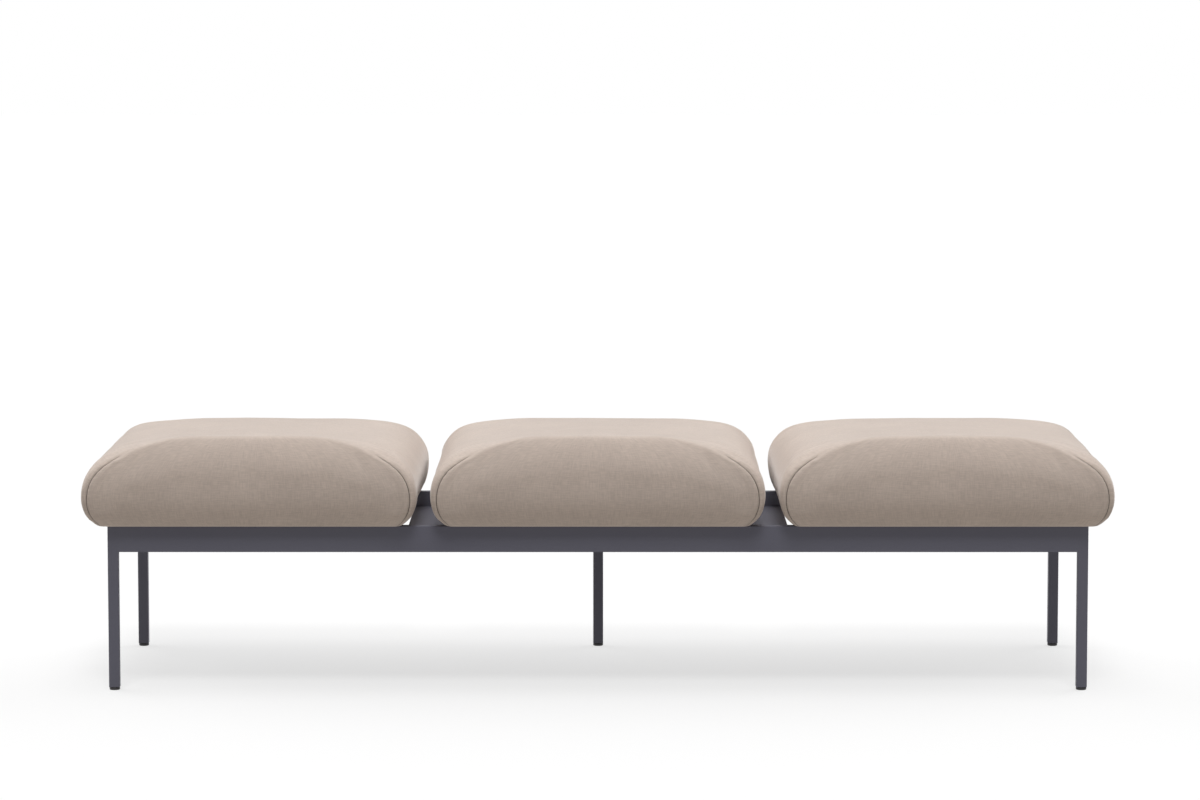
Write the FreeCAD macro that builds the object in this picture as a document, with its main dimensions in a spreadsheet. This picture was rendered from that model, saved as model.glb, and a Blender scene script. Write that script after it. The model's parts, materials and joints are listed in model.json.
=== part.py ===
import FreeCAD, Part
import math
import os

import Sketcher
from FreeCAD import Vector

# Backless reception bench: three upholstered seats on one welded tube frame with five levelling feet.
# The origin is on the floor under the middle of the bench, +X to its right, the front faces -Y, +Z up.

SIZES = [
    ("frame_length", 1860, "over the outer faces of the end legs"),
    ("frame_depth", 560, "over the outer faces of the front and rear legs"),
    ("frame_top", 315, "floor to the top of the rails"),
    ("rail_height", 50, "rectangular tube on edge"),
    ("rail_thickness", 20, "rectangular tube on edge"),
    ("rail_wall", 2, "wall of the rails and cross-members"),
    ("leg_side", 20, "square tube"),
    ("leg_wall", 1.5, "wall of the legs"),
    ("leg_cap", 2, "plate that closes the top of a leg"),
    ("tube_round", 1.5, "outer corners of all tubes"),
    ("cross_width", 80, "flat tube under each gap between seats"),
    ("cross_height", 20, "flat tube under each gap between seats"),
    ("foot_height", 6, "floor to the end of a leg with the foot screwed in"),
    ("foot_diameter", 20, "moulded pad of a levelling foot"),
    ("foot_edge", 1.8, "rounded lower edge of the pad"),
    ("foot_bevel", 0.6, "upper edge of the pad"),
    ("stem_diameter", 8, "nominal thread of a levelling foot"),
    ("stem_length", 26, "stem above the pad"),
    ("stem_tip", 1, "chamfer at the top of the stem"),
    ("stem_head_diameter", 13, "head moulded into the pad"),
    ("stem_head_height", 2.4, "head moulded into the pad"),
    ("stem_head_floor", 1.6, "pad under the head"),
    ("insert_height", 20, "nylon insert in the end of a leg"),
    ("insert_core", 14, "square body between the ribs"),
    ("insert_rib", 1.6, "thickness of a rib"),
    ("insert_ribs", 4, "ribs that grip the leg"),
    ("running_gap", 0.08, "round parts that slide or screw in each other, on the radius"),
    ("fitting_gap", 0.05, "pieces pressed or moulded into each other, each side"),
    ("resting_gap", 0.3, "soft and moving pieces beside their neighbours"),
    ("seat_gap", 16, "between two cushions at their widest lines"),
    ("end_overhang", 52, "cushion past the end of the frame"),
    ("seat_overhang", 42, "cushion past the front and the rear of the frame"),
    ("seat_rise", 163, "top of the rails to the crown of a cushion"),
    ("crown_rise", 13, "crown above the shoulder of the rolled edge"),
    ("widest_height", 64, "top of the rails to the widest line of a cushion"),
    ("edge_roll", 77, "radius of the rolled edge of a cushion"),
    ("corner_low", 40, "corner of a cushion seen from above, at the bottom"),
    ("corner_wide", 52, "corner of a cushion seen from above, at its widest line"),
    ("corner_high", 104, "corner of a cushion seen from above, at its shoulder"),
    ("side_bow", 4, "swell of a cushion's side between its corners"),
    ("cover_thickness", 2, "cloth with its lining"),
    ("hem_width", 64, "cover turned under the seat board at its two ends"),
    ("board_gap", 8, "seat board inside the bottom edge of its cushion"),
    ("board_thickness", 15, "plywood"),
    ("board_corner", 36, "corners of the seat board"),
    ("dust_thickness", 0.8, "cloth that closes the underside"),
    ("dust_lap", 10, "dust cover over the edge of the hem"),
    ("dust_gap", 4, "dust cover short of the fixing tabs"),
    ("tab_width", 40, "fixing tab along the rail"),
    ("tab_reach", 30, "fixing tab out of the rail"),
    ("tab_thickness", 4, "flat steel"),
    ("tab_corner", 8, "free corners of a tab"),
    ("tab_spread", 400, "between the two tabs of a seat on one rail"),
    ("screw_diameter", 6, "seat screw"),
    ("screw_hole", 7, "clearance hole for a seat screw"),
    ("screw_length", 20, "under the head"),
    ("screw_head_width", 10, "across the flats of the head"),
    ("screw_head_height", 4, "hexagon head"),
    ("washer_diameter", 16, "under the screw head"),
    ("washer_thickness", 1.6, "under the screw head"),
    ("tee_flange_diameter", 19, "flange of a tee nut, let into the board"),
    ("tee_flange_thickness", 1.5, "flange of a tee nut, let into the board"),
    ("tee_barrel_diameter", 8, "barrel of a tee nut"),
    ("tee_barrel_length", 10, "barrel of a tee nut under its flange"),
]

doc = FreeCAD.newDocument("ReceptionBench")
sheet = doc.addObject("Spreadsheet::Sheet", "Sizes")
for row, (alias, value, note) in enumerate(SIZES, 1):
    sheet.set(f"A{row}", note)
    sheet.set(f"B{row}", str(value))
    sheet.setAlias(f"B{row}", alias)
doc.recompute()


def bind(expression):
    """Write an expression on the sheet's names as one on its cells."""
    words = expression.split()
    aliases = {alias for alias, _, _ in SIZES}
    return " ".join(f"Sizes.{word}" if word in aliases else word for word in words)


def size(expression):
    return float(sheet.evalExpression(bind(expression)))


def place(item, x="0", y="0", z="0", turn=0):
    item.Placement.Rotation = FreeCAD.Rotation(Vector(0, 0, 1), turn)
    for axis, expression in zip("xyz", (x, y, z)):
        item.setExpression(f"Placement.Base.{axis}", bind(expression))
    return item


# Sketches and features


def new_body(label):
    body = doc.addObject("PartDesign::Body", label)
    body.Label = label
    return body


def new_sketch(body, name, role, height="0"):
    sketch = body.newObject("Sketcher::SketchObject", f"{body.Label}_{name}")
    plane = next(feature for feature in body.Origin.OriginFeatures if feature.Role == role)
    sketch.AttachmentSupport = [(plane, "")]
    sketch.MapMode = "FlatFace"
    sketch.setExpression("AttachmentOffset.Base.z", bind(height))
    return sketch


def dimension(sketch, constraint, expression):
    index = sketch.addConstraint(constraint)
    sketch.setExpression(f"Constraints[{index}]", bind(expression))


def draw_rectangle(sketch, width, depth):
    first = sketch.GeometryCount
    half_width = sketch.evalExpression(bind(f"( {width} ) / 2"))
    half_depth = sketch.evalExpression(bind(f"( {depth} ) / 2"))
    corners = [
        Vector(-half_width, -half_depth, 0),
        Vector(half_width, -half_depth, 0),
        Vector(half_width, half_depth, 0),
        Vector(-half_width, half_depth, 0),
    ]
    for start, end in zip(corners, corners[1:] + corners[:1]):
        sketch.addGeometry(Part.LineSegment(start, end))
    for side in range(4):
        following = first + (side + 1) % 4
        sketch.addConstraint(Sketcher.Constraint("Coincident", first + side, 2, following, 1))
        direction = "Vertical" if side % 2 else "Horizontal"
        sketch.addConstraint(Sketcher.Constraint(direction, first + side))
    sketch.addConstraint(Sketcher.Constraint("Symmetric", first, 1, first + 2, 1, -1, 1))
    dimension(sketch, Sketcher.Constraint("DistanceX", first, 1, first, 2, 2 * half_width), width)
    dimension(sketch, Sketcher.Constraint("DistanceY", first + 1, 1, first + 1, 2, 2 * half_depth), depth)


def draw_circle(sketch, diameter, x="0", y="0"):
    radius = sketch.evalExpression(bind(f"( {diameter} ) / 2"))
    centre = Vector(sketch.evalExpression(bind(x)), sketch.evalExpression(bind(y)), 0)
    circle = sketch.addGeometry(Part.Circle(centre, Vector(0, 0, 1), radius))
    dimension(sketch, Sketcher.Constraint("Diameter", circle, 2 * radius), diameter)
    if x == "0" and y == "0":
        sketch.addConstraint(Sketcher.Constraint("Coincident", circle, 3, -1, 1))
    else:
        dimension(sketch, Sketcher.Constraint("DistanceX", -1, 1, circle, 3, centre.x), x)
        dimension(sketch, Sketcher.Constraint("DistanceY", -1, 1, circle, 3, centre.y), y)


def draw_outline(sketch, points):
    """Draw a closed outline of straight lines whose corners are given as expressions."""
    places = [Vector(*(sketch.evalExpression(bind(part)) for part in point), 0) for point in points]
    first = sketch.GeometryCount
    count = len(points)
    for side in range(count):
        sketch.addGeometry(Part.LineSegment(places[side], places[(side + 1) % count]))
    for side in range(count):
        sketch.addConstraint(Sketcher.Constraint("Coincident", first + side, 2, first + (side + 1) % count, 1))
    for side, (point, spot) in enumerate(zip(points, places)):
        for kind, expression, value in zip(("DistanceX", "DistanceY"), point, spot):
            if value == 0:
                axis = -2 if kind == "DistanceX" else -1
                sketch.addConstraint(Sketcher.Constraint("PointOnObject", first + side, 1, axis))
            else:
                dimension(sketch, Sketcher.Constraint(kind, -1, 1, first + side, 1, value), expression)


def pad(sketch, length):
    feature = sketch.getParentGeoFeatureGroup().newObject("PartDesign::Pad", f"{sketch.Label}_pad")
    feature.Profile = sketch
    feature.setExpression("Length", bind(length))
    doc.recompute()
    return feature


def pocket(sketch, depth):
    """Cut upwards from a sketch, and make sure that the cut took something away."""
    body = sketch.getParentGeoFeatureGroup()
    before = body.Shape.Volume
    feature = body.newObject("PartDesign::Pocket", f"{sketch.Label}_pocket")
    feature.Profile = sketch
    feature.Reversed = True
    feature.setExpression("Length", bind(depth))
    doc.recompute()
    assert body.Shape.Volume < before, feature.Label
    return feature


def revolve(sketch):
    body = sketch.getParentGeoFeatureGroup()
    feature = body.newObject("PartDesign::Revolution", f"{sketch.Label}_turned")
    feature.Profile = sketch
    feature.ReferenceAxis = (sketch, ["V_Axis"])
    feature.Angle = 360
    doc.recompute()
    return feature


def dress(kind, feature, wanted, amount):
    """Round or bevel the edges of a feature for which wanted(edge) holds."""
    body = feature.getParentGeoFeatureGroup()
    names = [f"Edge{index}" for index, edge in enumerate(feature.Shape.Edges, 1) if wanted(edge)]
    dressed = body.newObject(f"PartDesign::{kind}", f"{feature.Label}_{kind.lower()}")
    dressed.Base = (feature, names)
    dressed.setExpression("Radius" if kind == "Fillet" else "Size", bind(amount))
    doc.recompute()
    return dressed


same_place = 1e-4


def runs_along(edge, axis):
    ends = [vertex.Point for vertex in edge.Vertexes]
    return len(ends) == 2 and (ends[1] - ends[0]).isParallel(axis, same_place)


def outer_corner(edge, axis, shape):
    """True for a straight edge along an axis that lies at a corner of the shape's box."""
    if not runs_along(edge, axis):
        return False
    box = shape.BoundBox
    low = Vector(box.XMin, box.YMin, box.ZMin)
    high = Vector(box.XMax, box.YMax, box.ZMax)
    middle = edge.CenterOfMass
    across = [part for part in range(3) if not axis[part]]
    return all(min(middle[part] - low[part], high[part] - middle[part]) < same_place for part in across)


def group(label, pieces):
    compound = doc.addObject("Part::Compound", label)
    compound.Label = label
    compound.Links = pieces
    return compound


def repeat(label, master, places):
    """Make one node of separate copies of a master at the places given as expressions."""
    copies = []
    for index, spot in enumerate(places, 1):
        copy = doc.addObject("App::Link", f"{label}_{index}")
        copy.LinkedObject = master
        copies.append(place(copy, *spot))
    return group(label, copies)


nodes = []

along_x = Vector(1, 0, 0)
along_z = Vector(0, 0, 1)

# The three seats share the length of the frame, and each stands on the rails front and rear.
seat_width = "( ( frame_length + 2 * end_overhang - 2 * seat_gap ) / 3 )"
seat_depth = "( frame_depth + 2 * seat_overhang )"
seat_pitch = f"( {seat_width} + seat_gap )"

# Frame


def make_tube(label, thickness, height, length):
    """Hollow rectangular tube along X from the origin, on the line through its middle."""
    body = new_body(label)
    section = new_sketch(body, "section", "YZ_Plane")
    draw_rectangle(section, thickness, height)
    draw_rectangle(section, f"{thickness} - 2 * rail_wall", f"{height} - 2 * rail_wall")
    tube = pad(section, length)
    dress("Fillet", tube, lambda edge: outer_corner(edge, along_x, tube.Shape), "tube_round")
    nodes.append(body)
    return body


def make_leg(label, length):
    """Square tube that stands on the origin, open below and closed by a plate above."""
    body = new_body(label)
    outside = new_sketch(body, "outside", "XY_Plane")
    draw_rectangle(outside, "leg_side", "leg_side")
    pad(outside, length)
    inside = new_sketch(body, "inside", "XY_Plane")
    draw_rectangle(inside, "leg_side - 2 * leg_wall", "leg_side - 2 * leg_wall")
    bore = pocket(inside, f"{length} - leg_cap")
    dress("Fillet", bore, lambda edge: outer_corner(edge, along_z, bore.Shape), "tube_round")
    nodes.append(body)
    return body


leg_x = "( frame_length / 2 - leg_side / 2 )"
leg_y = "( frame_depth / 2 - leg_side / 2 )"
rail_y = "( frame_depth / 2 - rail_thickness / 2 )"
end_x = "( frame_length / 2 - rail_thickness / 2 )"
rail_z = "frame_top - rail_height / 2"
rail_length = "frame_length - 2 * leg_side"
end_length = "frame_depth - 2 * leg_side"
cross_length = "frame_depth - 2 * rail_thickness"

for name, side in (("front", "-"), ("rear", "")):
    rail = make_tube(f"{name}_rail", "rail_thickness", "rail_height", rail_length)
    place(rail, "- frame_length / 2 + leg_side", f"{side} {rail_y}", rail_z)

for name, side in (("left", "-"), ("right", "")):
    end_rail = make_tube(f"end_rail_{name}", "rail_thickness", "rail_height", end_length)
    place(end_rail, f"{side} {end_x}", "- frame_depth / 2 + leg_side", rail_z, 90)
    cross = make_tube(f"cross_member_{name}", "cross_width", "cross_height", cross_length)
    cross_y = "- frame_depth / 2 + rail_thickness"
    cross_z = "frame_top - rail_height + cross_height / 2"
    place(cross, f"{side} {seat_pitch} / 2", cross_y, cross_z, 90)

feet = [
    ("front_left", f"- {leg_x}", f"- {leg_y}"),
    ("front_right", leg_x, f"- {leg_y}"),
    ("rear_left", f"- {leg_x}", leg_y),
    ("rear_right", leg_x, leg_y),
    ("rear_centre", "0", leg_y),
]
for name, x, y in feet:
    below_rail = " - rail_height" if name == "rear_centre" else ""
    leg = make_leg(f"leg_{name}", f"frame_top - foot_height{below_rail}")
    place(leg, x, y, "foot_height")


def make_weld(label, length):
    """Weld metal that fills the groove left by one rounded tube corner, standing on the origin.

    The two flat sides lie on X and Y through the origin, and the tube's round bites into the third side.
    """
    body = new_body(label)
    block_sketch = new_sketch(body, "block", "XY_Plane")
    points = [("0", "0"), ("tube_round", "0"), ("tube_round", "tube_round"), ("0", "tube_round")]
    draw_outline(block_sketch, points)
    pad(block_sketch, length)
    round_sketch = new_sketch(body, "round", "XY_Plane")
    draw_circle(round_sketch, "2 * tube_round", "tube_round", "tube_round")
    pocket(round_sketch, length)
    return body


# Each corner leg meets one long rail and one end rail, and the faces outside are dressed flush.
corner_weld = make_weld("corner_weld", "rail_height - 2 * tube_round")
corner_welds = []
weld_z = "frame_top - rail_height + tube_round"
for x_side, y_side, turns in (("-", "-", (90, 270)), ("", "-", (0, 180)), ("", "", (270, 90)), ("-", "", (180, 0))):
    inner_x = f"{x_side} ( frame_length / 2 - leg_side )"
    outer_y = f"{y_side} frame_depth / 2"
    outer_x = f"{x_side} frame_length / 2"
    inner_y = f"{y_side} ( frame_depth / 2 - leg_side )"
    for (x, y), turn in zip(((inner_x, outer_y), (outer_x, inner_y)), turns):
        weld = doc.addObject("App::Link", f"corner_weld_{len(corner_welds) + 1}")
        weld.LinkedObject = corner_weld
        corner_welds.append(place(weld, x, y, weld_z, turn))
nodes.append(group("corner_welds", corner_welds))

# Levelling feet


def make_insert():
    """Ribbed nylon plug for the end of a leg, with the bore for the stem."""
    body = new_body("leg_insert")
    core = new_sketch(body, "core", "XY_Plane")
    draw_rectangle(core, "insert_core", "insert_core")
    pad(core, "insert_height")
    rib = new_sketch(body, "rib", "XY_Plane")
    grip = "leg_side - 2 * leg_wall - 2 * fitting_gap"
    draw_rectangle(rib, grip, grip)
    rib_pad = pad(rib, "insert_rib")
    ribs = body.newObject("PartDesign::LinearPattern", "leg_insert_ribs")
    ribs.Originals = [rib_pad]
    ribs.Direction = (rib, ["N_Axis"])
    ribs.setExpression("Length", bind("insert_height - insert_rib"))
    ribs.setExpression("Occurrences", bind("insert_ribs"))
    body.Tip = ribs
    doc.recompute()
    bore = new_sketch(body, "bore", "XY_Plane")
    draw_circle(bore, "stem_diameter + 2 * running_gap")
    pocket(bore, "insert_height")
    return body


nodes.append(repeat("leg_inserts", make_insert(), [(x, y, "foot_height") for _, x, y in feet]))

pad_top = "foot_height - resting_gap"


def make_foot_pad(label):
    """Moulded pad with the pocket that holds the head of its stem."""
    body = new_body(label)
    profile = new_sketch(body, "profile", "XZ_Plane")
    head = "stem_head_diameter / 2 + fitting_gap"
    neck = "stem_diameter / 2 + fitting_gap"
    head_low = "stem_head_floor - fitting_gap"
    head_high = "stem_head_floor + stem_head_height + fitting_gap"
    points = [
        ("0", "0"),
        ("foot_diameter / 2", "0"),
        ("foot_diameter / 2", pad_top),
        (neck, pad_top),
        (neck, head_high),
        (head, head_high),
        (head, head_low),
        ("0", head_low),
    ]
    draw_outline(profile, points)
    turned = revolve(profile)

    def rim(edge, height):
        box = edge.BoundBox
        at_rim = abs(box.XMax - turned.Shape.BoundBox.XMax) < same_place
        return edge.Closed and at_rim and abs(box.ZMax - height) < same_place

    rounded = dress("Fillet", turned, lambda edge: rim(edge, 0), "foot_edge")
    top = rounded.Shape.BoundBox.ZMax
    dress("Chamfer", rounded, lambda edge: rim(edge, top), "foot_bevel")
    nodes.append(body)
    return body


def make_foot_stem(label):
    """Steel stem with the flat head that is moulded into the pad."""
    body = new_body(label)
    profile = new_sketch(body, "profile", "XZ_Plane")
    tip = f"{pad_top} + stem_length"
    head_high = "stem_head_floor + stem_head_height"
    points = [
        ("0", "stem_head_floor"),
        ("stem_head_diameter / 2", "stem_head_floor"),
        ("stem_head_diameter / 2", head_high),
        ("stem_diameter / 2", head_high),
        ("stem_diameter / 2", f"{tip} - stem_tip"),
        ("stem_diameter / 2 - stem_tip", tip),
        ("0", tip),
    ]
    draw_outline(profile, points)
    revolve(profile)
    nodes.append(body)
    return body


for name, x, y in feet:
    place(make_foot_pad(f"foot_pad_{name}"), x, y)
    place(make_foot_stem(f"foot_stem_{name}"), x, y)

# Seats

seats = (("left", f"- {seat_pitch}"), ("centre", "0"), ("right", seat_pitch))
tab_y = "( frame_depth / 2 - rail_thickness - tab_reach / 2 )"
fixings = [(f"{side} tab_spread / 2", f"{end} {tab_y}") for side in ("-", "") for end in ("-", "")]

# The rolled edge draws a cushion in at its bottom, and the board and the hem lie inside that line.
undercut = "( edge_roll - sqrt( edge_roll ^ 2 - widest_height ^ 2 ) )"
board_width = f"( {seat_width} - 2 * {undercut} - 2 * board_gap )"
board_depth = f"( {seat_depth} - 2 * {undercut} - 2 * board_gap )"
board_low = "frame_top + cover_thickness"
board_high = "frame_top + cover_thickness + board_thickness"
opening_width = f"( {board_width} - 2 * hem_width )"
opening_depth = "( frame_depth - 2 * rail_thickness - 2 * tab_reach - 2 * dust_gap - 2 * dust_lap )"


def make_board(label):
    """Plywood board whose underside lies on the origin, drilled and sunk for the tee nuts."""
    body = new_body(label)
    outline = new_sketch(body, "outline", "XY_Plane")
    draw_rectangle(outline, board_width, board_depth)
    plate = pad(outline, "board_thickness")
    dress("Fillet", plate, lambda edge: runs_along(edge, along_z), "board_corner")
    holes = new_sketch(body, "holes", "XY_Plane")
    sinks = new_sketch(body, "sinks", "XY_Plane", "board_thickness - tee_flange_thickness")
    for x, y in fixings:
        draw_circle(holes, "tee_barrel_diameter + 2 * fitting_gap", x, y)
        draw_circle(sinks, "tee_flange_diameter + 2 * fitting_gap", x, y)
    pocket(holes, "board_thickness")
    pocket(sinks, "tee_flange_thickness")
    nodes.append(body)
    return body


def make_dust_cover(label):
    """Sheet under the hem, its top on the origin's plane, that closes the opening and laps over the edges."""
    body = new_body(label)
    outline = new_sketch(body, "outline", "XY_Plane", "- dust_thickness")
    draw_rectangle(outline, f"{opening_width} + 2 * dust_lap", f"{opening_depth} + 2 * dust_lap")
    pad(outline, "dust_thickness")
    nodes.append(body)
    return body


# Sections of a cushion lie about as far apart on the rolled edge as on the crown.
roll_steps = 7
shoulder_angle = 84
crown_steps = 10
crown_first = 0.92
crown_last = 0.04
crown_corner = 0.9
crown_squareness = 0.45
loft_degree = 3


def bowed_rectangle(half_width, half_depth, corner, bow, height):
    """Closed wire of four bowed sides and four corner arcs, all tangent to each other."""
    bow_radius = (half_width**2 + bow**2) / (2 * bow)
    side_centre = bow_radius - half_width
    end_centre = bow_radius - half_depth
    reach = bow_radius - corner
    # The corner's middle (x, y) lies at the same reach from the middles of both bows.
    slope = side_centre / end_centre
    offset = (side_centre**2 - end_centre**2) / (2 * end_centre)
    square = 1 + slope**2
    linear = 2 * side_centre + 2 * slope * offset
    constant = side_centre**2 + offset**2 - reach**2
    x = (-linear + math.sqrt(linear**2 - 4 * square * constant)) / (2 * square)
    y = slope * x + offset
    side_end = Vector(-side_centre + bow_radius * (x + side_centre) / reach, bow_radius * y / reach, height)
    end_end = Vector(bow_radius * x / reach, -end_centre + bow_radius * (y + end_centre) / reach, height)
    diagonal = Vector(x + side_centre, y, 0).normalize() + Vector(x, y + end_centre, 0).normalize()
    tip = Vector(x, y, height) + diagonal.normalize() * corner
    quarters = ((1, 1), (-1, 1), (-1, -1), (1, -1))

    def mirrored(point, quarter):
        return Vector(point.x * quarter[0], point.y * quarter[1], point.z)

    edges = []
    for index, quarter in enumerate(quarters):
        first, last = (end_end, side_end) if index % 2 else (side_end, end_end)
        edges.append(Part.Arc(*(mirrored(point, quarter) for point in (first, tip, last))).toShape())
        following = quarters[(index + 1) % 4]
        swell = Vector(0, quarter[1] * half_depth, height)
        if index % 2:
            swell = Vector(quarter[0] * half_width, 0, height)
        edges.append(Part.Arc(mirrored(last, quarter), swell, mirrored(last, following)).toShape())
    return Part.Wire(edges)


def cushion_form(inset):
    """Crowned cushion on the plane of the rails, its skin moved inwards by an inset."""
    half_width = size(seat_width) / 2 - inset
    half_depth = size(seat_depth) / 2 - inset
    roll = size("edge_roll") - inset
    widest = size("widest_height")
    shoulder = size("seat_rise") - size("crown_rise") - widest - inset
    bottom = math.degrees(math.asin((inset - widest) / roll))
    bow = size("side_bow")
    wires = []
    for step in range(roll_steps + 1):
        degrees = bottom + (shoulder_angle - bottom) * step / roll_steps
        angle = math.radians(degrees)
        inward = roll * (1 - math.cos(angle))
        if degrees < 0:
            share = degrees / bottom
            corner = size("corner_wide") + share * (size("corner_low") - size("corner_wide"))
            height = widest + roll * math.sin(angle)
        else:
            share = math.sin(angle) ** 4
            corner = size("corner_wide") + share * (size("corner_high") - size("corner_wide"))
            height = widest + shoulder * math.sin(angle)
        wires.append(bowed_rectangle(half_width - inward, half_depth - inward, corner - inset, bow, height))
    crown_width = half_width - roll
    crown_depth = half_depth - roll
    for step in range(crown_steps):
        share = crown_first + (crown_last - crown_first) * step / (crown_steps - 1)
        height = size("seat_rise") - inset - size("crown_rise") * share**2
        # Towards the top the outline turns from a square with round corners almost into a circle.
        corner = min(crown_width, crown_depth) * share * (crown_corner - crown_squareness * share)
        wires.append(bowed_rectangle(crown_width * share, crown_depth * share, corner, bow * share, height))
    return Part.makeLoft(wires, True, False, False, loft_degree)


def soft_cover():
    """Sewn cover: the cushion's skin, turned under the board and open inside its hem."""
    thickness = size("cover_thickness")
    shell = cushion_form(0).cut(cushion_form(thickness))
    width = size(opening_width)
    depth = size(opening_depth)
    shell = shell.cut(Part.makeBox(width, depth, thickness, Vector(-width / 2, -depth / 2, 0)))
    for x, y in fixings:
        shell = shell.cut(Part.makeCylinder(size("screw_hole") / 2, thickness, Vector(size(x), size(y), 0)))
    return shell


def soft_foam():
    """Foam block that fills the cover and drops over the edge of the board."""
    gap = size("resting_gap")
    skin = size("cover_thickness") + gap
    width = size(board_width) + 2 * gap
    depth = size(board_depth) + 2 * gap
    high = size("cover_thickness") + size("board_thickness")
    return cushion_form(skin).cut(Part.makeBox(width, depth, high, Vector(-width / 2, -depth / 2, 0)))


cover_shape = soft_cover()
foam_shape = soft_foam()
for name, x in seats:
    place(make_board(f"seat_board_{name}"), x, "0", board_low)
    place(make_dust_cover(f"dust_cover_{name}"), x, "0", "frame_top")
    for kind, shape in (("seat_cover", cover_shape), ("seat_foam", foam_shape)):
        soft = doc.addObject("Part::Feature", f"{kind}_{name}")
        soft.Label = f"{kind}_{name}"
        soft.Shape = shape
        nodes.append(place(soft, x, "0", "frame_top"))

# Fixing tabs, screws, washers and tee nuts


def make_tab():
    """Flat tab with its top on the origin's plane, welded on at +Y, its free corners rounded."""
    body = new_body("fixing_tab")
    outline = new_sketch(body, "outline", "XY_Plane", "- tab_thickness")
    draw_rectangle(outline, "tab_width", "tab_reach")
    draw_circle(outline, "screw_hole")
    plate = pad(outline, "tab_thickness")
    dress("Fillet", plate, lambda edge: runs_along(edge, along_z) and edge.CenterOfMass.y < 0, "tab_corner")
    return body


tab = make_tab()
for name, side, turn in (("front", "-", 180), ("rear", "", 0)):
    places = [(f"{x} {end} tab_spread / 2", f"{side} {tab_y}", "frame_top", turn) for _, x in seats for end in "-+"]
    nodes.append(repeat(f"fixing_tabs_{name}", tab, places))

head_low = "frame_top - tab_thickness - washer_thickness - screw_head_height"


def make_screw():
    """Hexagon screw that stands on its head."""
    body = new_body("seat_screw")
    head = new_sketch(body, "head", "XY_Plane")
    flat = "screw_head_width / 2"
    point = "screw_head_width / sqrt( 3 )"
    half = "screw_head_width / 2 / sqrt( 3 )"
    corners = [
        (point, "0"),
        (half, flat),
        (f"- {half}", flat),
        (f"- {point}", "0"),
        (f"- {half}", f"- {flat}"),
        (half, f"- {flat}"),
    ]
    draw_outline(head, corners)
    pad(head, "screw_head_height")
    shank = new_sketch(body, "shank", "XY_Plane")
    draw_circle(shank, "screw_diameter")
    pad(shank, "screw_head_height + screw_length")
    return body


def make_washer():
    body = new_body("screw_washer")
    ring = new_sketch(body, "ring", "XY_Plane")
    draw_circle(ring, "washer_diameter")
    draw_circle(ring, "screw_diameter + 2 * running_gap")
    pad(ring, "washer_thickness")
    return body


def make_tee_nut():
    """Tee nut with its flange on top, level with the origin."""
    body = new_body("tee_nut")
    flange = new_sketch(body, "flange", "XY_Plane", "- tee_flange_thickness")
    draw_circle(flange, "tee_flange_diameter")
    draw_circle(flange, "screw_diameter + 2 * running_gap")
    pad(flange, "tee_flange_thickness")
    barrel = new_sketch(body, "barrel", "XY_Plane", "- tee_flange_thickness - tee_barrel_length")
    draw_circle(barrel, "tee_barrel_diameter")
    draw_circle(barrel, "screw_diameter + 2 * running_gap")
    pad(barrel, "tee_barrel_length")
    return body


spots = [(f"{x} + ( {fix_x} )", fix_y) for _, x in seats for fix_x, fix_y in fixings]
nodes.append(repeat("seat_screws", make_screw(), [(x, y, head_low) for x, y in spots]))
washer_low = f"{head_low} + screw_head_height"
nodes.append(repeat("screw_washers", make_washer(), [(x, y, washer_low) for x, y in spots]))
nodes.append(repeat("tee_nuts", make_tee_nut(), [(x, y, board_high) for x, y in spots]))

doc.recompute()
failed = [item.Label for item in doc.Objects if {"Invalid", "Error"} & set(item.State)]
failed += [node.Label for node in nodes if node.Shape.isNull() or not node.Shape.isValid()]
if failed:
    raise RuntimeError("failed: " + ", ".join(failed))

os.makedirs("parts", exist_ok=True)
for node in nodes:
    node.Shape.exportStep(f"parts/{node.Label}.step")
print(len(nodes), "nodes")
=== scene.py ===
import json
import math
import random

import bmesh
import bpy
import numpy as np
from mathutils import Matrix, Vector, noise


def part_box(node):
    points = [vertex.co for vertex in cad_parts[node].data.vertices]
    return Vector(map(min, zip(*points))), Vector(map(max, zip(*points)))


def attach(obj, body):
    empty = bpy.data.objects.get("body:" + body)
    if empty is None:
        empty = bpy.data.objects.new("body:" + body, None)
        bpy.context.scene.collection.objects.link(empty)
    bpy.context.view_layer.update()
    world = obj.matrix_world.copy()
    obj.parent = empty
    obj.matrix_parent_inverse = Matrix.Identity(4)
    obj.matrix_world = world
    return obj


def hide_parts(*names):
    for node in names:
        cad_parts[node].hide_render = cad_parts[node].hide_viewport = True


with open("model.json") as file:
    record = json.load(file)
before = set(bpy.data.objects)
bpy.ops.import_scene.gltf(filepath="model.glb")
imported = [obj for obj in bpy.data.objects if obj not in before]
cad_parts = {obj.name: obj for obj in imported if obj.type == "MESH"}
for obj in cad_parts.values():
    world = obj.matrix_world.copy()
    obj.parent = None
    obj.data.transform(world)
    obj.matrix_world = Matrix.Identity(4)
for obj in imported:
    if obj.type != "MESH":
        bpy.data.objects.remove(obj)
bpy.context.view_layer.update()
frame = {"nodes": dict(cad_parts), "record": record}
nodes = frame["nodes"]
scene = bpy.context.scene
scene.view_settings.view_transform = "Standard"
seatNames = ("left", "centre", "right")
print("frame loaded:", len(nodes), "nodes")


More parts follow.
